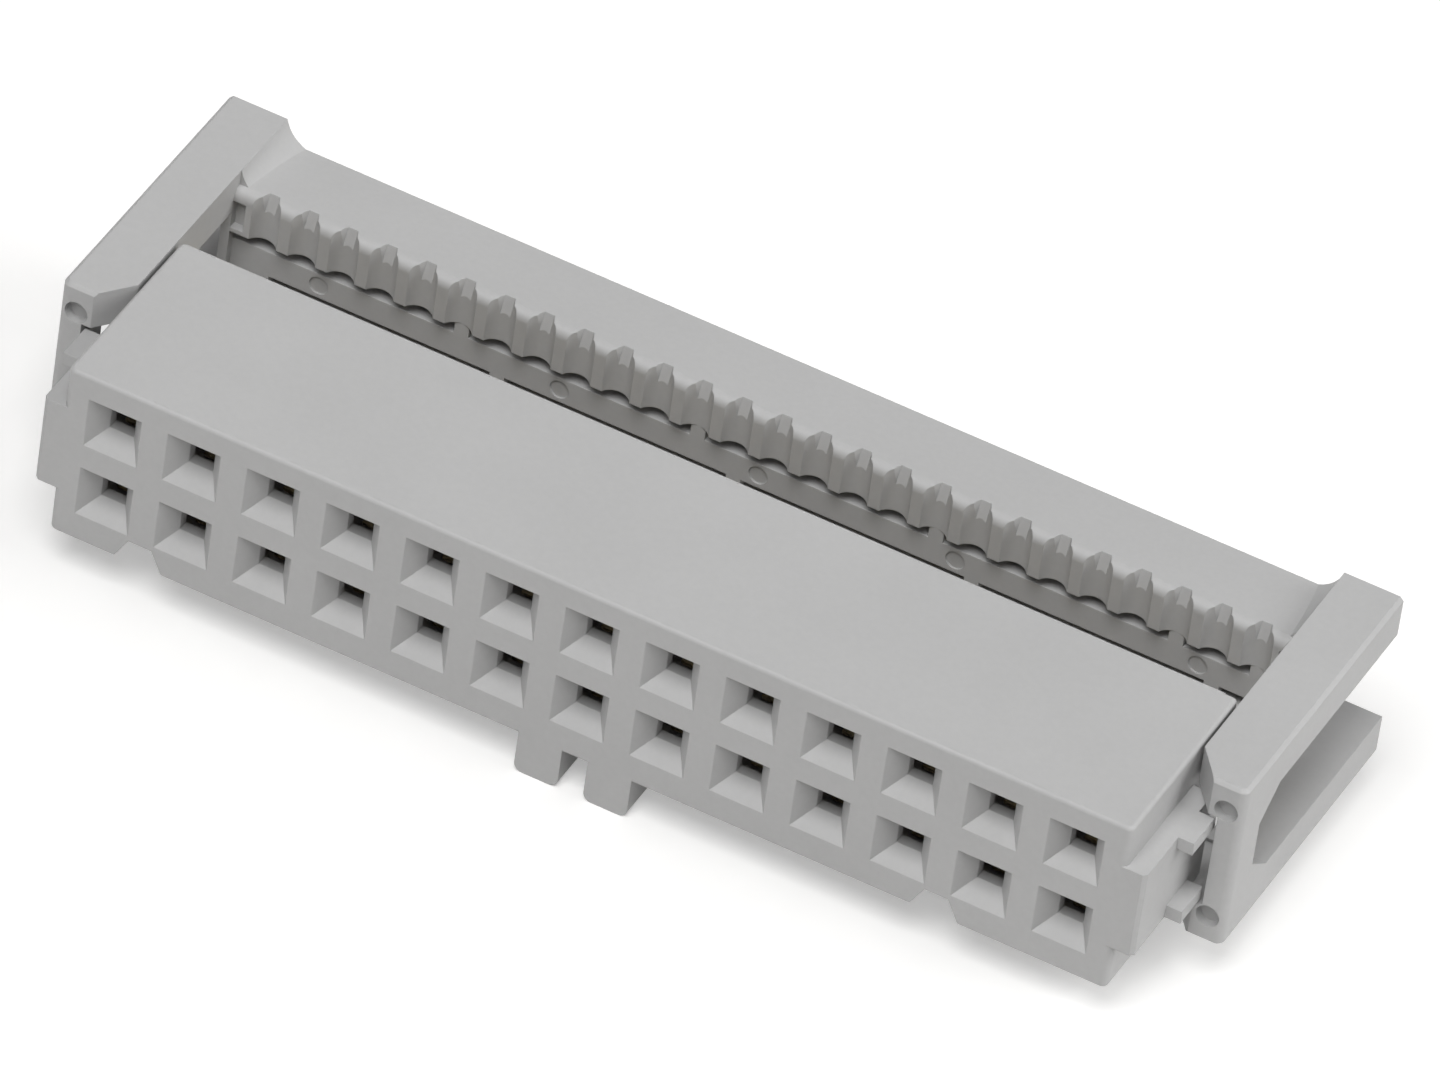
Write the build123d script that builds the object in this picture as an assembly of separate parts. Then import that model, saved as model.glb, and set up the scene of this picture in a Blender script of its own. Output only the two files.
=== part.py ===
from build123d import *
import math

# Millimetres. X runs along the contact rows, Y from the mating face back to the cover,
# Z from the key side up to the plain side. The origin is the middle of the mating face.
COLUMNS = 13
PITCH = 2.54
CABLE_PITCH = PITCH / 2
ROW_Z = PITCH / 2

# How far a cutter runs past the face it opens, and how deep a joined piece is rooted
PAST = 1.0
ROOT = 0.3

# Housing block
END_WALL = 1.6
HOUSING_HALF_X = (COLUMNS - 1) / 2 * PITCH + END_WALL
HOUSING_DEPTH = 6.7
HOUSING_TOP = 2.93
HOUSING_BOTTOM = -3.08
HOUSING_CORNER_R = 0.22
HOUSING_EDGE_R = 0.13
CORNER_STEP_X = 0.42
CORNER_STEP_Y = 0.12

# Socket openings in the mating face
OPENING = 1.71
OPENING_HOLE = 0.79
OPENING_DEPTH = 0.64
HOLE_LAND = 0.37
CAVITY_HALF_X = 0.85
CAVITY_IN_Z = 0.45
CAVITY_OUT_Z = 2.09

# Polarising key: two bumps under the middle of the housing
KEY_MIDDLE = 0.08
KEY_HALF_X = 1.8
KEY_GAP_HALF = 0.41
KEY_PROUD = 1.34
KEY_ROUND = 0.28

# Two trapezoid notches in the key side, one towards each end
NOTCH_COLUMNS = (0.5, 10.5)
NOTCH_MOUTH = 1.58
NOTCH_FLOOR = 0.74
NOTCH_DEEP = 0.78
NOTCH_LONG = 1.6

# End lugs, each with two latch ribs
LUG_HALF_Z = 1.5
LUG_X = HOUSING_HALF_X + 0.63
LUG_LONG = 4.2
LUG_EDGE = 0.12
RIB_X = HOUSING_HALF_X + 1.12
RIB_THICK_Z = 0.43
RIB_START = 2.0
RIB_END = 3.3

# Cover arms
FIT = 0.1
ARM_IN_X = HOUSING_HALF_X + FIT
ARM_OUT_X = ARM_IN_X + 1.88
ARM_HALF_Z = 2.92
ARM_FRONT = 3.22
COVER_BACK = 13.15
ARM_CORNER_R = 0.25
ARM_END_R = 0.12
ARM_LEAD_X = ARM_IN_X + 0.83
ARM_LEAD_Y = 4.3
SLOT_HALF_Z = 1.55
SLOT_FRONT = 4.6
SLOT_CORNER_Y = 1.1
SLOT_CORNER_Z = 0.8
POCKET_HALF_Z = LUG_HALF_Z + 0.15
POCKET_X = RIB_X + FIT
DIMPLE_X = ARM_OUT_X - 0.55
DIMPLE_Z = 1.97
DIMPLE_R = 0.36
DIMPLE_DEEP = 0.3

# Cover bar with its wire grooves; it is a little thicker at the front than at the back
BAR_TIP_Y = 10.1
BAR_FRONT_HALF_Z = 2.44
BAR_BACK_HALF_Z = 2.12
BAR_EDGE_R = 0.34
BAR_STEP_X = ARM_IN_X - 0.69
BAR_STEP_FRONT = 10.4
GROOVES = 2 * COLUMNS
GROOVE_R = 0.5
GROOVE_DEEP = 0.28
FLARE_FLOOR_HALF = 0.16
FLARE_DEEP = 0.45
FLARE_MOUTH_HALF = 0.36
FLARE_Z = 1.88
FLARE_OUT_Y = 10.56
FLARE_OUT_Z = 2.38
BAND_Y = BAR_TIP_Y + GROOVE_DEEP
BAND_HALF_Z = 0.43
TINE_SLOT_Z = 0.85
TINE_SLOT_BOTTOM = 12.1
TINE_SLOT_END = ARM_IN_X - 1.27
WEB = 0.47
END_POCKET_X = ARM_IN_X - 0.41
END_POCKET_Z = 1.0
END_POCKET_TOP_Z = 1.98
PIN_MARK_X = (-14.1, -6.3, 0.1, 6.4, 14.1)
PIN_MARK_R = 0.3
PIN_MARK_DEEP = 0.06

# Contacts: fork behind the housing, two spring beams inside it
PLATE_Z = 0.64
PLATE_THICK = 0.3
FORK_SHIFT = CABLE_PITCH / 2
FORK_HALF_X = 0.9
FORK_SHOULDER = 4.4
FORK_TIP = 8.6
WIRE_SLOT = 0.3
WIRE_SLOT_START = 7.0
TIP_TAPER = 0.45
BEAM_FRONT = 1.35
BEAM_THICK = 0.2
BEAM_HALF_X = 0.26
BEAM_TOP_Z = 1.9
BEAM_GAP_HALF = 0.26
BEAM_BOW_Y = 2.0
BEAM_BOW_END = 3.0
SIDE_X = -0.72
SIDE_THICK = 0.2
SIDE_START = 3.0
SIDE_END = FORK_SHOULDER + 0.4
CLEAR = 0.02


def column_x(column):
    """X of one column of sockets."""
    return (column - (COLUMNS - 1) / 2) * PITCH


def wire_x(index):
    """X of one wire groove."""
    return (index - (GROOVES - 1) / 2) * CABLE_PITCH


def block(x0, x1, y0, y1, z0, z1):
    """A box given by its two corners."""
    size = Box(x1 - x0, y1 - y0, z1 - z0)
    return Pos((x0 + x1) / 2, (y0 + y1) / 2, (z0 + z1) / 2) * size


def prism_along_y(points, y0, y1):
    """A polygon of (x, z) points carried from y0 to y1."""
    plane = Plane(origin=(0, y0, 0), x_dir=(-1, 0, 0), z_dir=(0, 1, 0))
    face = plane * make_face(Polyline([(-x, z) for x, z in points], close=True))
    return extrude(face, y1 - y0)


def curved_prism_along_y(start, middle, end, points, y0, y1):
    """A face carried from y0 to y1: an arc through three (x, z) points, closed by a run of points."""
    plane = Plane(origin=(0, y0, 0), x_dir=(-1, 0, 0), z_dir=(0, 1, 0))
    arc = [(-x, z) for x, z in (start, middle, end)]
    runs = [(-x, z) for x, z in [end] + points + [start]]
    face = plane * make_face(Curve() + [ThreePointArc(*arc), Polyline(runs)])
    return extrude(face, y1 - y0)


def prism_along_z(points, z0, z1):
    """A polygon of (x, y) points carried from z0 to z1."""
    face = Pos(0, 0, z0) * make_face(Polyline(points, close=True))
    return extrude(face, z1 - z0)


def prism_along_x(points, x0, x1):
    """A polygon of (y, z) points carried from x0 to x1."""
    plane = Plane(origin=(x0, 0, 0), x_dir=(0, 1, 0), z_dir=(1, 0, 0))
    face = plane * make_face(Polyline(points, close=True))
    return extrude(face, x1 - x0)


def socket_cut(column, side):
    """Funnel, hole, cavity and fork slot of one socket; side is 1 above and -1 below."""
    x = column_x(column)
    z = side * ROW_Z
    half = OPENING_HOLE / 2
    mouth = OPENING / 2
    # a four-sided funnel is where two tapered prisms meet
    plan = [(x - mouth, 0), (x - half, OPENING_DEPTH), (x + half, OPENING_DEPTH), (x + mouth, 0)]
    side_view = [(0, z - mouth), (OPENING_DEPTH, z - half), (OPENING_DEPTH, z + half), (0, z + mouth)]
    funnel = prism_along_z(plan, z - mouth, z + mouth) & prism_along_x(side_view, x - mouth, x + mouth)
    land_end = OPENING_DEPTH + HOLE_LAND
    hole = block(x - half, x + half, OPENING_DEPTH, land_end, z - half, z + half)
    z_low, z_high = sorted((side * CAVITY_IN_Z, side * CAVITY_OUT_Z))
    cavity = block(x - CAVITY_HALF_X, x + CAVITY_HALF_X, land_end, HOUSING_DEPTH + PAST, z_low, z_high)
    fork_x = x - side * FORK_SHIFT
    half_x = FORK_HALF_X + CLEAR
    half_z = PLATE_THICK / 2 + CLEAR
    plate_z = side * PLATE_Z
    fork = block(fork_x - half_x, fork_x + half_x, FORK_SHOULDER, HOUSING_DEPTH + PAST,
                 plate_z - half_z, plate_z + half_z)
    return [funnel + hole + cavity + fork]


def key_bump(side):
    """One of the two bumps of the polarising key."""
    x0, x1 = sorted((KEY_MIDDLE + side * KEY_GAP_HALF, KEY_MIDDLE + side * KEY_HALF_X))
    bump = block(x0, x1, 0, HOUSING_DEPTH, HOUSING_BOTTOM - KEY_PROUD, HOUSING_BOTTOM + ROOT)
    lower = bump.edges().filter_by(Axis.Y).group_by(Axis.Z)[0]
    return fillet(lower, KEY_ROUND)


def end_lug(side):
    """The stop lug on one end of the housing with its two latch ribs."""
    root = side * (HOUSING_HALF_X - ROOT)
    x0, x1 = sorted((root, side * LUG_X))
    lug = block(x0, x1, 0, LUG_LONG, -LUG_HALF_Z, LUG_HALF_Z)
    outer = lug.edges().filter_by(Axis.Z).sort_by(Axis.X)
    pair = outer[-2:] if side > 0 else outer[:2]
    front = [edge for edge in pair if edge.center().Y < LUG_LONG / 2]
    lug = chamfer(front, LUG_EDGE)
    x0, x1 = sorted((root, side * RIB_X))
    inner_z = LUG_HALF_Z - RIB_THICK_Z
    upper = block(x0, x1, RIB_START, RIB_END, inner_z, LUG_HALF_Z)
    lower = block(x0, x1, RIB_START, RIB_END, -LUG_HALF_Z, -inner_z)
    return lug + upper + lower


def notch_cut(column):
    """One trapezoid notch in the key side."""
    x = column_x(column)
    floor = HOUSING_BOTTOM + NOTCH_DEEP
    below = HOUSING_BOTTOM - PAST
    slope = (NOTCH_MOUTH - NOTCH_FLOOR) / 2 / NOTCH_DEEP
    mouth = NOTCH_MOUTH / 2 + slope * PAST
    points = [(x - mouth, below), (x - NOTCH_FLOOR / 2, floor), (x + NOTCH_FLOOR / 2, floor), (x + mouth, below)]
    return prism_along_y(points, -PAST, NOTCH_LONG)


def housing():
    """The socket body."""
    body = block(-HOUSING_HALF_X, HOUSING_HALF_X, 0, HOUSING_DEPTH, HOUSING_BOTTOM, HOUSING_TOP)
    body = fillet(body.edges().filter_by(Axis.Z), HOUSING_CORNER_R)
    rims = body.faces().filter_by(Plane.XY).edges()
    body = fillet(rims, HOUSING_EDGE_R)
    for side in (-1, 1):
        body += end_lug(side)
        body += key_bump(side)
    cuts = [notch_cut(column) for column in NOTCH_COLUMNS]
    # a small step in one back corner
    cuts.append(block(HOUSING_HALF_X - CORNER_STEP_X, HOUSING_HALF_X + PAST, HOUSING_DEPTH - CORNER_STEP_Y,
                      HOUSING_DEPTH + PAST, HOUSING_BOTTOM - PAST, HOUSING_TOP + PAST))
    for column in range(COLUMNS):
        for side in (-1, 1):
            cuts += socket_cut(column, side)
    return body - cuts


def cover_arm(side):
    """One side arm of the cover: two prongs joined by a strap at the front."""
    outline = [(side * ARM_IN_X, ARM_LEAD_Y), (side * ARM_LEAD_X, ARM_FRONT), (side * ARM_OUT_X, ARM_FRONT),
               (side * ARM_OUT_X, COVER_BACK), (side * ARM_IN_X, COVER_BACK)]
    arm = prism_along_z(outline, -ARM_HALF_Z, ARM_HALF_Z)
    upright = arm.edges().filter_by(Axis.Z).group_by(Axis.Y)[0]
    arm = fillet(upright.sort_by(lambda edge: side * edge.center().X)[-1], ARM_CORNER_R)
    front = arm.edges().filter_by(Axis.X).group_by(Axis.Y)[0]
    arm = chamfer(front, ARM_END_R)
    high = SLOT_HALF_Z
    low = SLOT_HALF_Z - SLOT_CORNER_Z
    turn = SLOT_FRONT + SLOT_CORNER_Y
    back = COVER_BACK + PAST
    slot = [(back, high), (turn, high), (SLOT_FRONT, low), (SLOT_FRONT, -low), (turn, -high), (back, -high)]
    cuts = [prism_along_x(slot, *sorted((side * (ARM_IN_X - PAST), side * (ARM_OUT_X + PAST))))]
    x0, x1 = sorted((side * (ARM_IN_X - PAST), side * POCKET_X))
    cuts.append(block(x0, x1, ARM_FRONT - PAST, turn, -POCKET_HALF_Z, POCKET_HALF_Z))
    for z in (-DIMPLE_Z, DIMPLE_Z):
        dimple = Cylinder(DIMPLE_R, 2 * DIMPLE_DEEP, rotation=(90, 0, 0))
        cuts.append(Pos(side * DIMPLE_X, ARM_FRONT, z) * dimple)
    return arm - cuts


def bar_blank():
    """The bar before its grooves, with rounded front edges and curved steps up to the arms."""
    front, back = BAR_FRONT_HALF_Z, BAR_BACK_HALF_Z
    reach = ARM_IN_X + ROOT
    plane = Plane(origin=(-reach, 0, 0), x_dir=(0, 1, 0), z_dir=(1, 0, 0))
    outline = [(BAR_TIP_Y, -front), (BAR_TIP_Y, front), (COVER_BACK, back), (COVER_BACK, -back)]
    section = make_face(Polyline(outline, close=True))
    section = fillet(section.vertices().sort_by(Axis.X)[:2], BAR_EDGE_R)
    bar = extrude(plane * section, 2 * reach)
    run = ARM_IN_X - BAR_STEP_X
    rise = ARM_HALF_Z - back
    for side in (-1, 1):
        for up in (-1, 1):
            start = (side * BAR_STEP_X, up * back)
            middle = (side * (BAR_STEP_X + 0.6 * run), up * (back + 0.36 * rise))
            end = (side * ARM_IN_X, up * ARM_HALF_Z)
            root = [(side * reach, up * ARM_HALF_Z), (side * reach, up * (back - ROOT)),
                    (side * BAR_STEP_X, up * (back - ROOT))]
            bar += curved_prism_along_y(start, middle, end, root, BAR_STEP_FRONT, COVER_BACK)
    return bar


def groove_cuts(index):
    """One wire groove: a straight run and a leaning flare at both ends."""
    x = wire_x(index)
    floor = BAR_TIP_Y + GROOVE_DEEP
    cuts = [Pos(x, floor - GROOVE_R, 0) * Cylinder(GROOVE_R, 2 * BAR_FRONT_HALF_Z + PAST)]
    rise = FLARE_OUT_Z - FLARE_Z
    run = FLARE_OUT_Y - floor
    length = math.hypot(rise, run)
    dy, dz = run / length, rise / length
    channel = [(-FLARE_FLOOR_HALF, 0), (FLARE_FLOOR_HALF, 0),
               (FLARE_MOUTH_HALF, FLARE_DEEP), (-FLARE_MOUTH_HALF, FLARE_DEEP)]
    for up in (-1, 1):
        lean = Plane(origin=(x, floor, up * FLARE_Z), x_dir=(1, 0, 0), z_dir=(0, dy, up * dz))
        face = lean * make_face(Polyline([(u, -up * v) for u, v in channel], close=True))
        cuts.append(extrude(face, length + PAST, both=True))
    return cuts


def tine_slot_cuts(side, webs):
    """The long slot that takes one row of forks, leaving a web at each groove in webs."""
    x0, x1 = sorted((-side * ARM_IN_X, side * TINE_SLOT_END))
    z0, z1 = sorted((side * BAND_HALF_Z, side * TINE_SLOT_Z))
    edges = [x0]
    for index in webs:
        edges += [wire_x(index) - WEB / 2, wire_x(index) + WEB / 2]
    edges.append(x1)
    return [block(edges[k], edges[k + 1], BAND_Y - PAST, TINE_SLOT_BOTTOM, z0, z1)
            for k in range(0, len(edges), 2)]


def cover():
    """The pressing cover with its two arms."""
    cuts = []
    for index in range(GROOVES):
        cuts += groove_cuts(index)
    bar = bar_blank() - cuts
    cuts = [block(-ARM_IN_X, ARM_IN_X, BAR_TIP_Y - PAST, BAND_Y, -TINE_SLOT_Z, TINE_SLOT_Z)]
    # one web at every sixth groove, between two forks of the row
    cuts += tine_slot_cuts(1, range(5, GROOVES, 6))
    cuts += tine_slot_cuts(-1, range(6, GROOVES, 6))
    for x in PIN_MARK_X:
        mark = Cylinder(PIN_MARK_R, 2 * PIN_MARK_DEEP, rotation=(90, 0, 0))
        cuts.append(Pos(x, BAND_Y, 0) * mark)
    for side in (-1, 1):
        x0, x1 = sorted((side * END_POCKET_X, side * ARM_IN_X))
        for up in (-1, 1):
            z0, z1 = sorted((up * END_POCKET_Z, up * END_POCKET_TOP_Z))
            cuts.append(block(x0, x1, BAR_TIP_Y - PAST, BAND_Y, z0, z1))
    return bar - cuts + cover_arm(-1) + cover_arm(1)


def contact(column, side):
    """One stamped contact: insulation-piercing fork and two spring beams."""
    x = column_x(column)
    fork_x = x - side * FORK_SHIFT
    mouth = WIRE_SLOT / 2
    tip_x = FORK_HALF_X - TIP_TAPER
    outline = [(-FORK_HALF_X, FORK_SHOULDER), (FORK_HALF_X, FORK_SHOULDER),
               (FORK_HALF_X, FORK_TIP - TIP_TAPER), (tip_x, FORK_TIP),
               (mouth, FORK_TIP - TIP_TAPER), (mouth, WIRE_SLOT_START),
               (-mouth, WIRE_SLOT_START), (-mouth, FORK_TIP - TIP_TAPER),
               (-tip_x, FORK_TIP), (-FORK_HALF_X, FORK_TIP - TIP_TAPER)]
    plate_in = PLATE_Z - PLATE_THICK / 2
    z0, z1 = sorted((side * plate_in, side * (PLATE_Z + PLATE_THICK / 2)))
    piece = prism_along_z([(fork_x + px, py) for px, py in outline], z0, z1)
    # side profile of the two beams, bowed towards the pin, as (y, z) above the axis
    low = [(SIDE_END, plate_in), (BEAM_FRONT, plate_in), (BEAM_FRONT, plate_in + BEAM_THICK),
           (BEAM_BOW_Y, ROW_Z - BEAM_GAP_HALF), (BEAM_BOW_END, plate_in + BEAM_THICK),
           (SIDE_END, plate_in + BEAM_THICK)]
    high = [(SIDE_END, BEAM_TOP_Z), (BEAM_FRONT, BEAM_TOP_Z), (BEAM_FRONT, BEAM_TOP_Z - BEAM_THICK),
            (BEAM_BOW_Y, ROW_Z + BEAM_GAP_HALF), (BEAM_BOW_END, BEAM_TOP_Z - BEAM_THICK),
            (SIDE_END, BEAM_TOP_Z - BEAM_THICK)]
    for profile in (low, high):
        points = [(y, side * z) for y, z in profile]
        piece += prism_along_x(points, x - BEAM_HALF_X, x + BEAM_HALF_X)
    # the strip that carries the outer beam from the fork plate
    x_side = sorted((x + side * SIDE_X, x + side * (SIDE_X + SIDE_THICK)))
    z0, z1 = sorted((side * plate_in, side * BEAM_TOP_Z))
    piece += block(*x_side, SIDE_START, SIDE_END, z0, z1)
    x_top = sorted((x + side * SIDE_X, x + side * BEAM_HALF_X))
    z0, z1 = sorted((side * (BEAM_TOP_Z - BEAM_THICK), side * BEAM_TOP_Z))
    piece += block(*x_top, SIDE_START, SIDE_END, z0, z1)
    z0, z1 = sorted((side * plate_in, side * (plate_in + BEAM_THICK)))
    piece += block(*x_top, SIDE_START, SIDE_END, z0, z1)
    return piece


export_step(housing(), "parts/housing.step")
export_step(cover(), "parts/cover.step")
for number in range(COLUMNS):
    export_step(contact(number, 1), f"parts/contact_upper_{number + 1:02d}.step")
    export_step(contact(number, -1), f"parts/contact_lower_{number + 1:02d}.step")
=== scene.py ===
"""Dresses a two-row ribbon-cable socket: moulded plastic, stamped contacts, studio and camera.

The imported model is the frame. Millimetre values below repeat the part's own sizes.
"""

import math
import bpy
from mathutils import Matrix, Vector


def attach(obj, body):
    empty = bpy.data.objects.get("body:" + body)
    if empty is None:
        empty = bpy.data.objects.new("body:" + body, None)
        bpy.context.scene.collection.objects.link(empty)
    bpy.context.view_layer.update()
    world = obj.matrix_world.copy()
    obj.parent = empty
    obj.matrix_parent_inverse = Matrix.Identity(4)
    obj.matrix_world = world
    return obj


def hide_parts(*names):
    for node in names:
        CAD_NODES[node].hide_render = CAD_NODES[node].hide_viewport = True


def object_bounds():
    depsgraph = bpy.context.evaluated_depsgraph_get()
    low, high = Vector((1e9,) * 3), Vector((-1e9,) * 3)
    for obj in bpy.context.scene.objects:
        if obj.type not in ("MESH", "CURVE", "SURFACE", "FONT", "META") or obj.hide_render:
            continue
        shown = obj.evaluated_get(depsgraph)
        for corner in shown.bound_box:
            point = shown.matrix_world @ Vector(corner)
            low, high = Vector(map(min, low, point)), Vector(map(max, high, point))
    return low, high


bl_info = {
    "name": "Ribbon Cable Socket",
    "version": (1, 0, 0),
    "blender": (4, 5, 0),
    "location": "3D View > Sidebar > Socket",
    "description": "Finishes, contacts, studio and camera of a two-row ribbon-cable socket",
    "category": "Object",
}

import bmesh
import bpy
import numpy as np
from bpy.props import FloatProperty, FloatVectorProperty, PointerProperty
from bpy.types import Operator, Panel, PropertyGroup
from mathutils import Matrix, Vector

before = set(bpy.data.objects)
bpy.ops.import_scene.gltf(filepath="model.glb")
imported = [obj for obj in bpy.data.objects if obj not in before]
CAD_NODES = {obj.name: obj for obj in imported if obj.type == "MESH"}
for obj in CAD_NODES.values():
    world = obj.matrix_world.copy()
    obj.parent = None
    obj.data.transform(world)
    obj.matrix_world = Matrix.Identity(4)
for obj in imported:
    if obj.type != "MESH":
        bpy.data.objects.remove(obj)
CAD_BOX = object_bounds()
FLOOR_Z = CAD_BOX[0][2]

MM = 0.001
WHITE = (1, 1, 1, 1)

# The contact grid of the socket, in millimetres
COLUMNS = 13
PITCH = 2.54
ROW_Z = 1.27

# The stamped contact, in millimetres, in its own axes: u across, v back, w away from the middle
PLATE_W = 0.64
PLATE_THICK = 0.3
FORK_SHIFT = -0.635
FORK_HALF = 0.9
FORK_SHOULDER = 4.4
FORK_TIP = 8.6
TIP_TAPER = 0.45
FOOT_CORNER = 0.16
PRONG_CORNER = 0.3
NOSE_RADIUS = 0.1
SLOT_HALF = 0.15
SLOT_START = 7.0
BEAM_FRONT = 1.35
BEAM_THICK = 0.2
BEAM_HALF = 0.26
BEAM_TOP_W = 1.9
BOW_V = 2.0
BOW_LONG = 1.0
BOW_GAP_HALF = 0.26
STRAP_U = -0.72
STRAP_START = 3.0
STRAP_END = 4.8
STRAP_BEND = 0.15
SHEET_BEVEL = 0.035

# Points on each small arc of the fork, each bend of the strap, each straight run and a beam
FORK_ARC_POINTS = 5
BEND_POINTS = 6
RUN_POINTS = 4
BEAM_POINTS = 30

# The plastic's patterns in metres: cloudy colour, flow waves and how high they stand
CLOUD_SIZE = 0.0042
WAVE_SIZE = 0.0021
WAVE_HEIGHT = 0.000006
SPECK_TO_GRAIN = 1.7
EDGE_SAMPLES = 6

# The contact strip's patterns in metres: rolling lines, dull patches and how high the lines stand
LINE_SIZE = 0.0006
DULL_SIZE = 0.0013
LINE_HEIGHT = 0.0000012

# The floor: size of its paper's fibres in metres, its glow in the picture, and squares a side
FIBRE_SIZE = 0.0016
FLOOR_GLOW = 0.36
FLOOR_SQUARES = 8

# The lamps: direction from the socket and width in metres; all hang this far from its middle
LAMP_DISTANCE = 1.1
SOCKET_MIDDLE = (0.0, 0.006, 0.0)
LAMPS = {
    "top_lamp": ((0.05, -0.44, 0.90), 0.60),
    "side_lamp": ((0.85, 0.25, 0.60), 0.70),
    "front_lamp": ((-0.45, -0.80, 0.45), 0.70),
}

# The photograph's camera: place in metres, and its right, up and back directions
CAMERA_PLACE = (0.15874, -0.38850, 0.36807)
CAMERA_RIGHT = (0.88074, 0.45935, 0.11529)
CAMERA_UP = (-0.38123, 0.54321, 0.74805)
CAMERA_BACK = (0.28099, -0.70279, 0.65355)


# ---------------------------------------------------------------- settings


class PlasticFinish(PropertyGroup):
    colour: FloatVectorProperty(
        name="Colour",
        description="Colour of the moulded plastic",
        subtype="COLOR",
        size=3,
        min=0.0,
        max=1.0,
        default=(0.483, 0.482, 0.481),
    )
    roughness: FloatProperty(
        name="Roughness",
        description="Roughness of the satin moulded face",
        subtype="FACTOR",
        min=0.0,
        max=1.0,
        default=0.5,
    )
    grain_size: FloatProperty(
        name="Grain Size",
        description="Spacing of the fine grain left by the mould",
        subtype="DISTANCE",
        unit="LENGTH",
        min=0.00001,
        default=0.00011,
    )
    grain_height: FloatProperty(
        name="Grain Height",
        description="Height of the fine grain",
        subtype="DISTANCE",
        unit="LENGTH",
        min=0.0,
        default=0.0000022,
    )
    edge_radius: FloatProperty(
        name="Edge Radius",
        description="Small rounding that light catches on every moulded edge",
        subtype="DISTANCE",
        unit="LENGTH",
        min=0.0,
        default=0.00004,
    )


class ContactFinish(PropertyGroup):
    colour: FloatVectorProperty(
        name="Colour",
        description="Colour of the plated contact metal",
        subtype="COLOR",
        size=3,
        min=0.0,
        max=1.0,
        default=(0.62, 0.53, 0.34),
    )
    roughness: FloatProperty(
        name="Roughness",
        description="Roughness of the rolled and plated strip",
        subtype="FACTOR",
        min=0.0,
        max=1.0,
        default=0.34,
    )


class StudioLevels(PropertyGroup):
    top_level: FloatProperty(
        name="Top Level",
        description="Light of the large lamp overhead",
        min=0.0,
        default=0.705,
    )
    side_level: FloatProperty(
        name="Side Level",
        description="Light of the lamp at the right and a little behind",
        min=0.0,
        default=0.48,
    )
    front_level: FloatProperty(
        name="Front Level",
        description="Light of the lamp in front at the left",
        min=0.0,
        default=0.03,
    )
    sky_level: FloatProperty(
        name="Sky Level",
        description="Even light from all round",
        min=0.0,
        default=0.12,
    )
    floor_colour: FloatVectorProperty(
        name="Floor Colour",
        description="Colour of the pale floor",
        subtype="COLOR",
        size=3,
        min=0.0,
        max=1.0,
        default=(0.766, 0.76, 0.75),
    )
    floor_size: FloatProperty(
        name="Floor Size",
        description="Width of the floor",
        subtype="DISTANCE",
        unit="LENGTH",
        min=0.1,
        default=6.0,
    )


class PhotoCamera(PropertyGroup):
    lens: FloatProperty(
        name="Lens",
        description="Focal length for a sensor 36 mm wide",
        subtype="DISTANCE_CAMERA",
        unit="CAMERA",
        min=1.0,
        default=500.0,
    )


# ---------------------------------------------------------------- surfaces


def grid_quads(rows, columns, start):
    """Quads of a grid whose columns close on themselves.

    The corners of a quad are (i, j), (i, j+1), (i+1, j+1) and (i+1, j).
    """
    i, j = np.meshgrid(np.arange(rows - 1), np.arange(columns), indexing="ij")
    k = (j + 1) % columns
    here, above = i * columns, (i + 1) * columns
    quads = np.stack((here + j, here + k, above + k, above + j), axis=-1)
    return quads.reshape(-1, 4) + start


def closed_shell(rings, start):
    """Faces of a tube of rings, shape (rows, columns, 3), with a flat cap on each end ring."""
    rows, columns = rings.shape[:2]
    last = start + (rows - 1) * columns
    first_cap = list(range(start + columns - 1, start - 1, -1))
    last_cap = list(range(last, last + columns))
    return grid_quads(rows, columns, start).tolist() + [first_cap, last_cap]


def strip_section(half_thick, half_wide, bevel):
    """Eight corners of a rectangle with cut corners, as (thickness, width)."""
    t, w, b = half_thick, half_wide, bevel
    half_turn = np.array([(t, -w + b), (t, w - b), (t - b, w), (-t + b, w)])
    return np.concatenate((half_turn, -half_turn))


def sweep_strip(path, half_thick, half_wide, bevel):
    """A strip carried along a plane path: point = path + normal * thickness.

    The normal is the path's slope turned a quarter, and the width lies along the third axis.
    Returns rings of (first, second, width) coordinates.
    """
    slope = np.gradient(path, axis=0)
    slope /= np.linalg.norm(slope, axis=1, keepdims=True)
    normal = np.stack((-slope[:, 1], slope[:, 0]), axis=1)
    section = strip_section(half_thick, half_wide, bevel)
    plane = path[:, None, :] + normal[:, None, :] * section[None, :, :1]
    width = np.broadcast_to(section[None, :, 1:], plane.shape[:2] + (1,))
    return np.concatenate((plane, width), axis=2)


def arc(centre, radius, from_degrees, to_degrees, steps):
    """Points of an arc: centre + radius * (cos a, sin a)."""
    a = np.radians(np.linspace(from_degrees, to_degrees, steps))
    return np.array(centre) + radius * np.stack((np.cos(a), np.sin(a)), axis=1)


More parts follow.
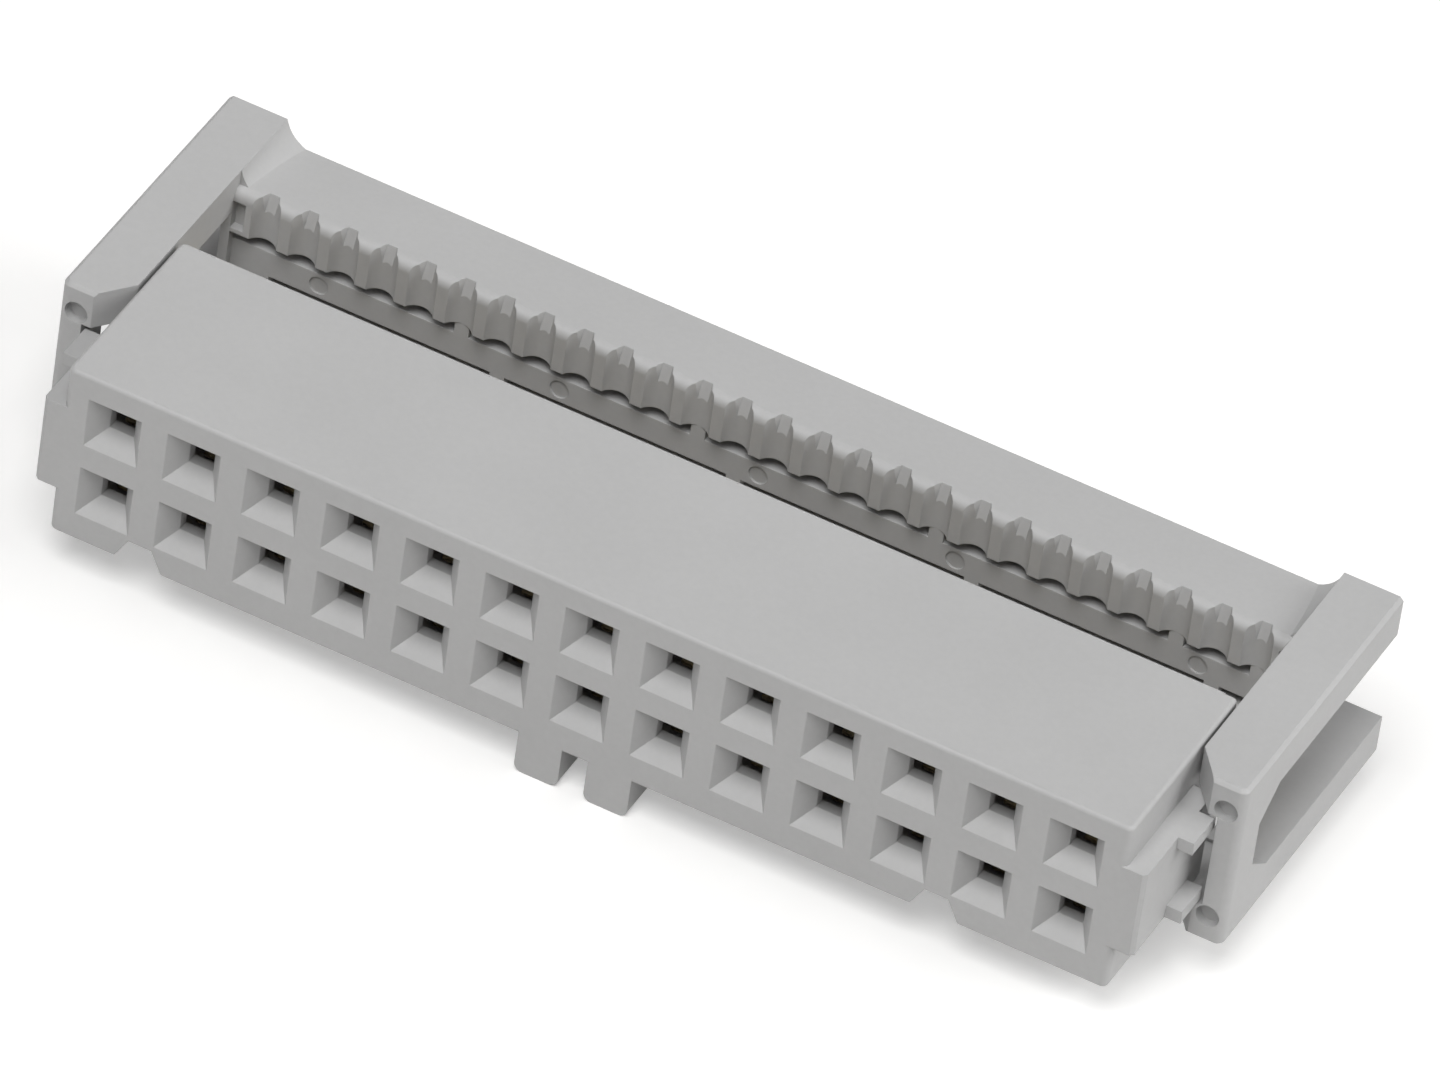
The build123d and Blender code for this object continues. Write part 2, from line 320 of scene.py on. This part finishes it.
def fork_outline():
    """Outline (u, v) of the fork plate: half of it as arcs and runs, then its mirror image."""
    count = FORK_ARC_POINTS
    foot_place = (FORK_HALF - FOOT_CORNER, FORK_SHOULDER + FOOT_CORNER)
    prong_v = FORK_TIP - TIP_TAPER - NOSE_RADIUS
    foot = arc(foot_place, FOOT_CORNER, -90, 0, count)
    outer = arc((FORK_HALF - PRONG_CORNER, prong_v), PRONG_CORNER, 0, 45, count)
    nose = arc((FORK_HALF - TIP_TAPER, FORK_TIP - NOSE_RADIUS), NOSE_RADIUS, 45, 135, count)
    throat = arc((SLOT_HALF + PRONG_CORNER, prong_v), PRONG_CORNER, 135, 180, count)
    slot = arc((0, SLOT_START + SLOT_HALF), SLOT_HALF, 0, -90, count)
    half = np.concatenate((foot, outer, nose, throat, slot))
    mirror = half[:-1][::-1] * (-1, 1)
    return np.concatenate((half, mirror))


def fork_rings():
    """The fork plate as four rings through its thickness; the outer two are drawn in by the bevel.

    Each ring is the outline moved inwards along its own normal, at its own height w.
    """
    outline = fork_outline()
    slope = np.roll(outline, -1, axis=0) - np.roll(outline, 1, axis=0)
    slope /= np.linalg.norm(slope, axis=1, keepdims=True)
    inwards = np.stack((-slope[:, 1], slope[:, 0]), axis=1)
    half = PLATE_THICK / 2
    full = half - SHEET_BEVEL
    levels = [(-half, SHEET_BEVEL), (-full, 0), (full, 0), (half, SHEET_BEVEL)]
    rings = []
    for height, inset in levels:
        flat = outline + inwards * inset + (FORK_SHIFT, 0)
        rings.append(np.column_stack((flat, np.full(len(flat), PLATE_W + height))))
    return np.array(rings)


def beam_rings(sign):
    """One spring beam, bowed towards the middle of its socket.

    w = rest + sign * rise * (1 + cos(pi * (v - bow) / length)) / 2 inside the bow.
    """
    v = np.linspace(STRAP_END, BEAM_FRONT, BEAM_POINTS)
    inner = PLATE_W - PLATE_THICK / 2 + BEAM_THICK / 2
    rest = inner if sign > 0 else BEAM_TOP_W - BEAM_THICK / 2
    gap = ROW_Z - sign * (BOW_GAP_HALF + BEAM_THICK / 2)
    rise = abs(gap - rest)
    reach = np.clip((v - BOW_V) / BOW_LONG, -1, 1)
    w = rest + sign * rise * (1 + np.cos(math.pi * reach)) / 2
    rings = sweep_strip(np.column_stack((v, w)), BEAM_THICK / 2, BEAM_HALF, SHEET_BEVEL)
    return rings[:, :, [2, 0, 1]]


def strap_rings():
    """The bent strap that joins both beams to the fork.

    Its path in (u, w) is a box open at one side, with round corners.
    """
    r = STRAP_BEND
    left = STRAP_U + BEAM_THICK / 2
    low = PLATE_W - PLATE_THICK / 2 + BEAM_THICK / 2
    high = BEAM_TOP_W - BEAM_THICK / 2
    path = np.concatenate((
        np.linspace((BEAM_HALF, low), (left + r, low), RUN_POINTS)[:-1],
        arc((left + r, low + r), r, -90, -180, BEND_POINTS),
        arc((left + r, high - r), r, 180, 90, BEND_POINTS),
        np.linspace((left + r, high), (BEAM_HALF, high), RUN_POINTS)[1:],
    ))
    rings = sweep_strip(path, BEAM_THICK / 2, (STRAP_END - STRAP_START) / 2, SHEET_BEVEL)
    rings[:, :, 2] += (STRAP_START + STRAP_END) / 2
    return rings[:, :, [0, 2, 1]]


def contact_mesh(name, column_x, side):
    """One contact; the lower row is the upper row turned half round about the depth axis.

    Place: x = column + side * u, y = v, z = side * w, so a half turn keeps every face outwards.
    """
    shells = [fork_rings(), beam_rings(1), beam_rings(-1), strap_rings()]
    points, faces = [], []
    start = 0
    for rings in shells:
        faces += closed_shell(rings, start)
        points.append(rings.reshape(-1, 3))
        start += rings.shape[0] * rings.shape[1]
    u, v, w = np.concatenate(points).T
    placed = np.stack((column_x + side * u, v, side * w), axis=1) * MM
    mesh = bpy.data.meshes.new(name)
    mesh.from_pydata(placed.tolist(), [], faces)
    mesh.update()
    return mesh


def outward(mesh):
    """Turns every closed shell of a mesh so that its faces point outwards."""
    shell = bmesh.new()
    shell.from_mesh(mesh)
    bmesh.ops.recalc_face_normals(shell, faces=shell.faces)
    shell.to_mesh(mesh)
    shell.free()


# ---------------------------------------------------------------- materials


def add(tree, kind, x, y, **sockets):
    """A new node at (x, y) with its named input values."""
    node = tree.nodes.new(kind)
    node.location = (x, y)
    for name, value in sockets.items():
        node.inputs[name.replace("_", " ")].default_value = value
    return node


def new_material(name):
    """An empty node material with its output."""
    material = bpy.data.materials.new(name)
    material.use_nodes = True
    tree = material.node_tree
    tree.nodes.clear()
    return material, tree, add(tree, "ShaderNodeOutputMaterial", 900, 0)


def noise(tree, place, x, y, size, detail, rough=0.5):
    """A noise whose blotches are about size metres across."""
    node = add(tree, "ShaderNodeTexNoise", x, y, Scale=1 / size, Detail=detail, Roughness=rough)
    tree.links.new(place, node.inputs["Vector"])
    return node.outputs["Fac"]


def spread(tree, value, x, y, low, high, from_low=0.3, from_high=0.7):
    """Maps a noise onto the range low to high."""
    node = add(tree, "ShaderNodeMapRange", x, y)
    node.inputs["From Min"].default_value = from_low
    node.inputs["From Max"].default_value = from_high
    node.inputs["To Min"].default_value = low
    node.inputs["To Max"].default_value = high
    tree.links.new(value, node.inputs["Value"])
    return node.outputs["Result"]


def scaled_colour(tree, colour, factor, x, y):
    """The colour times a factor that varies over the surface."""
    node = tree.nodes.new("ShaderNodeVectorMath")
    node.operation = "SCALE"
    node.location = (x, y)
    node.inputs[0].default_value = colour
    tree.links.new(factor, node.inputs["Scale"])
    return node.outputs["Vector"]


def moulded_plastic(name, finish, seed):
    """Satin moulded plastic: faint cloudy colour, flow waves, mould grain and softened edges."""
    material, tree, output = new_material(name)
    link = tree.links.new
    coordinates = add(tree, "ShaderNodeTexCoord", -1100, 0)
    shift = add(tree, "ShaderNodeMapping", -900, 0, Location=(seed, 0.7 * seed, 0.3 * seed))
    link(coordinates.outputs["Object"], shift.inputs["Vector"])
    place = shift.outputs["Vector"]

    cloud = noise(tree, place, -650, 300, CLOUD_SIZE, 3.0)
    speck = noise(tree, place, -650, 60, finish.grain_size * SPECK_TO_GRAIN, 2.0)
    waves = noise(tree, place, -650, -180, WAVE_SIZE, 2.0)
    grain = noise(tree, place, -650, -420, finish.grain_size, 3.0, 0.6)

    tint = add(tree, "ShaderNodeMath", -220, 260)
    tint.operation = "MULTIPLY"
    link(spread(tree, cloud, -430, 320, 0.975, 1.02), tint.inputs[0])
    link(spread(tree, speck, -430, 60, 0.985, 1.015), tint.inputs[1])
    colour = scaled_colour(tree, finish.colour, tint.outputs["Value"], 0, 260)

    edges = add(tree, "ShaderNodeBevel", -220, -620, Radius=finish.edge_radius)
    edges.samples = EDGE_SAMPLES
    long_waves = add(tree, "ShaderNodeBump", 60, -300, Strength=1.0, Distance=WAVE_HEIGHT)
    link(waves, long_waves.inputs["Height"])
    link(edges.outputs["Normal"], long_waves.inputs["Normal"])
    fine = add(tree, "ShaderNodeBump", 300, -300, Strength=1.0, Distance=finish.grain_height)
    link(grain, fine.inputs["Height"])
    link(long_waves.outputs["Normal"], fine.inputs["Normal"])

    surface = add(tree, "ShaderNodeBsdfPrincipled", 560, 0, IOR=1.5)
    surface.inputs["Specular IOR Level"].default_value = 0.42
    link(colour, surface.inputs["Base Color"])
    rough = spread(tree, waves, -220, -40, finish.roughness - 0.05, finish.roughness + 0.06)
    link(rough, surface.inputs["Roughness"])
    link(fine.outputs["Normal"], surface.inputs["Normal"])
    link(surface.outputs["BSDF"], output.inputs["Surface"])
    return material


def plated_strip(name, finish):
    """Rolled and plated copper alloy: lines along the rolling direction and a slight dulling."""
    material, tree, output = new_material(name)
    link = tree.links.new
    coordinates = add(tree, "ShaderNodeTexCoord", -1100, 0)
    stretch = add(tree, "ShaderNodeMapping", -900, 0, Scale=(9.0, 0.8, 9.0))
    link(coordinates.outputs["Object"], stretch.inputs["Vector"])
    lines = noise(tree, stretch.outputs["Vector"], -650, -200, LINE_SIZE, 4.0, 0.65)
    dull = noise(tree, coordinates.outputs["Object"], -650, 200, DULL_SIZE, 3.0)

    tint = spread(tree, dull, -430, 200, 0.72, 1.08)
    colour = scaled_colour(tree, finish.colour, tint, -100, 200)
    bump = add(tree, "ShaderNodeBump", 100, -250, Strength=1.0, Distance=LINE_HEIGHT)
    link(lines, bump.inputs["Height"])

    surface = add(tree, "ShaderNodeBsdfPrincipled", 560, 0, Metallic=1.0)
    link(colour, surface.inputs["Base Color"])
    rough = spread(tree, lines, -220, -40, finish.roughness - 0.08, finish.roughness + 0.14)
    link(rough, surface.inputs["Roughness"])
    link(bump.outputs["Normal"], surface.inputs["Normal"])
    link(surface.outputs["BSDF"], output.inputs["Surface"])
    return material


def seen_directly(tree, x, y):
    """1 for camera, glossy and transmission rays, and 0 for the light that falls on the object."""
    path = add(tree, "ShaderNodeLightPath", x, y)
    value = path.outputs["Is Camera Ray"]
    for step, name in enumerate(("Is Glossy Ray", "Is Transmission Ray")):
        larger = add(tree, "ShaderNodeMath", x + 200 + 180 * step, y)
        larger.operation = "MAXIMUM"
        tree.links.new(value, larger.inputs[0])
        tree.links.new(path.outputs[name], larger.inputs[1])
        value = larger.outputs["Value"]
    return value


def floor_paper(name, colour):
    """Pale paper that keeps soft shadows; its own glow brings it to white in the picture."""
    material, tree, output = new_material(name)
    link = tree.links.new
    coordinates = add(tree, "ShaderNodeTexCoord", -900, 0)
    fibres = noise(tree, coordinates.outputs["Object"], -650, 0, FIBRE_SIZE, 4.0, 0.6)
    tone = scaled_colour(tree, colour, spread(tree, fibres, -430, 0, 0.99, 1.01), -200, 0)
    paper = add(tree, "ShaderNodeBsdfDiffuse", 100, 60)
    link(tone, paper.inputs["Color"])
    glow = add(tree, "ShaderNodeEmission", 100, -140, Color=WHITE)
    level = add(tree, "ShaderNodeMath", -100, -220)
    level.operation = "MULTIPLY"
    level.inputs[1].default_value = FLOOR_GLOW
    link(seen_directly(tree, -800, -300), level.inputs[0])
    link(level.outputs["Value"], glow.inputs["Strength"])
    both = add(tree, "ShaderNodeAddShader", 400, 0)
    link(paper.outputs["BSDF"], both.inputs[0])
    link(glow.outputs["Emission"], both.inputs[1])
    link(both.outputs["Shader"], output.inputs["Surface"])
    return material


def give(node, material):
    """Puts one material into a CAD node's slots."""
    node.data.materials.clear()
    node.data.materials.append(material)


# ---------------------------------------------------------------- operators


class SOCKET_OT_finish_housing(Operator):
    """Gives the housing its moulded plastic"""

    bl_idname = "socket.finish_housing"
    bl_label = "Finish Housing"

    def execute(self, context):
        finish = context.scene.socket_housing_finish
        give(CAD_NODES["housing"], moulded_plastic("housing_plastic", finish, 0.013))
        return {"FINISHED"}


class SOCKET_OT_finish_cover(Operator):
    """Gives the pressing cover its moulded plastic"""

    bl_idname = "socket.finish_cover"
    bl_label = "Finish Cover"

    def execute(self, context):
        finish = context.scene.socket_cover_finish
        give(CAD_NODES["cover"], moulded_plastic("cover_plastic", finish, 0.041))
        return {"FINISHED"}


class SOCKET_OT_make_contacts(Operator):
    """Makes the stamped contacts with bowed beams and round-mouthed forks"""

    bl_idname = "socket.make_contacts"
    bl_label = "Make Contacts"

    def execute(self, context):
        metal = plated_strip("contact_metal", context.scene.socket_contact_finish)
        for row, side in (("upper", 1), ("lower", -1)):
            for column in range(COLUMNS):
                node = f"contact_{row}_{column + 1:02d}"
                give(CAD_NODES[node], metal)
                x = (column - (COLUMNS - 1) / 2) * PITCH
                mesh = contact_mesh(f"{node}_strip", x, side)
                outward(mesh)
                mesh.materials.append(metal)
                piece = bpy.data.objects.new(f"{node}_strip", mesh)
                context.scene.collection.objects.link(piece)
                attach(piece, "housing")
                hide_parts(node)
        return {"FINISHED"}


class SOCKET_OT_set_studio(Operator):
    """Lays the pale floor and sets the lamps and the even light"""

    bl_idname = "socket.set_studio"
    bl_label = "Set Studio"

    def execute(self, context):
        levels = context.scene.socket_studio
        self.lay_floor(context, levels)
        self.hang_lamp(context, "top_lamp", levels.top_level)
        self.hang_lamp(context, "side_lamp", levels.side_level)
        self.hang_lamp(context, "front_lamp", levels.front_level)
        self.light_room(context, levels)
        context.scene.view_settings.view_transform = "Standard"
        return {"FINISHED"}

    def lay_floor(self, context, levels):
        """A flat square sheet: z = the socket's lowest point."""
        half = levels.floor_size / 2
        lines = FLOOR_SQUARES + 1
        across = np.linspace(-half, half, lines)
        x, y = np.meshgrid(across, across, indexing="ij")
        points = np.stack((x, y, np.full_like(x, FLOOR_Z)), axis=-1).reshape(-1, 3)
        i, j = np.meshgrid(np.arange(FLOOR_SQUARES), np.arange(FLOOR_SQUARES), indexing="ij")
        first = i * lines + j
        quads = np.stack((first, first + lines, first + lines + 1, first + 1), axis=-1)
        mesh = bpy.data.meshes.new("studio_floor")
        mesh.from_pydata(points.tolist(), [], quads.reshape(-1, 4).tolist())
        mesh.materials.append(floor_paper("floor_paper", levels.floor_colour))
        floor = bpy.data.objects.new("studio_floor", mesh)
        context.scene.collection.objects.link(floor)

    def hang_lamp(self, context, name, level):
        """A square lamp aimed at the socket's middle; at level 1 it alone shows white as white."""
        direction, size = LAMPS[name]
        away = Vector(direction).normalized()
        lamp = bpy.data.lights.new(name, "AREA")
        lamp.shape = "SQUARE"
        lamp.size = size
        lamp.energy = level * math.pi ** 2 * LAMP_DISTANCE ** 2
        holder = bpy.data.objects.new(name, lamp)
        holder.location = Vector(SOCKET_MIDDLE) + away * LAMP_DISTANCE
        holder.rotation_euler = away.to_track_quat("Z", "Y").to_euler()
        holder.visible_camera = False
        context.scene.collection.objects.link(holder)

    def light_room(self, context, levels):
        """Even light on the object, and plain white where the room itself is seen."""
        world = bpy.data.worlds.new("even_light")
        world.use_nodes = True
        tree = world.node_tree
        tree.nodes.clear()
        link = tree.links.new
        sky = add(tree, "ShaderNodeBackground", 0, 100, Color=WHITE, Strength=levels.sky_level)
        white = add(tree, "ShaderNodeBackground", 0, -100, Color=WHITE, Strength=1.0)
        mix = add(tree, "ShaderNodeMixShader", 260, 0)
        link(seen_directly(tree, -700, 200), mix.inputs["Fac"])
        link(sky.outputs["Background"], mix.inputs[1])
        link(white.outputs["Background"], mix.inputs[2])
        output = add(tree, "ShaderNodeOutputWorld", 480, 0)
        link(mix.outputs["Shader"], output.inputs["Surface"])
        context.scene.world = world


class SOCKET_OT_place_camera(Operator):
    """Places the camera at the photograph's angle"""

    bl_idname = "socket.place_camera"
    bl_label = "Place Camera"

    def execute(self, context):
        lens = bpy.data.cameras.new("photo_camera")
        lens.sensor_fit = "HORIZONTAL"
        lens.sensor_width = 36.0
        lens.lens = context.scene.socket_camera.lens
        lens.clip_start = 0.01
        lens.clip_end = 20.0
        camera = bpy.data.objects.new("photo_camera", lens)
        turn = Matrix((CAMERA_RIGHT, CAMERA_UP, CAMERA_BACK)).transposed()
        camera.matrix_world = Matrix.Translation(CAMERA_PLACE) @ turn.to_4x4()
        context.scene.collection.objects.link(camera)
        context.scene.camera = camera
        return {"FINISHED"}


# ---------------------------------------------------------------- panel


class SOCKET_PT_sidebar(Panel):
    """Lists the socket's steps and settings"""

    bl_idname = "SOCKET_PT_sidebar"
    bl_label = "Ribbon Cable Socket"
    bl_space_type = "VIEW_3D"
    bl_region_type = "UI"
    bl_category = "Socket"

    def draw(self, context):
        scene = context.scene
        for step, settings in STEPS:
            box = self.layout.box()
            box.operator(step)
            group = getattr(scene, settings)
            for name in group.__annotations__:
                box.prop(group, name)


STEPS = (
    ("socket.finish_housing", "socket_housing_finish"),
    ("socket.finish_cover", "socket_cover_finish"),
    ("socket.make_contacts", "socket_contact_finish"),
    ("socket.set_studio", "socket_studio"),
    ("socket.place_camera", "socket_camera"),
)

SETTINGS = (
    ("socket_housing_finish", PlasticFinish),
    ("socket_cover_finish", PlasticFinish),
    ("socket_contact_finish", ContactFinish),
    ("socket_studio", StudioLevels),
    ("socket_camera", PhotoCamera),
)

CLASSES = (
    PlasticFinish,
    ContactFinish,
    StudioLevels,
    PhotoCamera,
    SOCKET_OT_finish_housing,
    SOCKET_OT_finish_cover,
    SOCKET_OT_make_contacts,
    SOCKET_OT_set_studio,
    SOCKET_OT_place_camera,
    SOCKET_PT_sidebar,
)


def register():
    for item in CLASSES:
        bpy.utils.register_class(item)
    for name, group in SETTINGS:
        setattr(bpy.types.Scene, name, PointerProperty(type=group))


def unregister():
    for name, _ in SETTINGS:
        delattr(bpy.types.Scene, name)
    for item in reversed(CLASSES):
        bpy.utils.unregister_class(item)


def main():
    register()
    bpy.ops.socket.place_camera()
    bpy.ops.socket.finish_housing()
    bpy.ops.socket.finish_cover()
    bpy.ops.socket.make_contacts()
    bpy.ops.socket.set_studio()


if __name__ == "__main__":
    main()
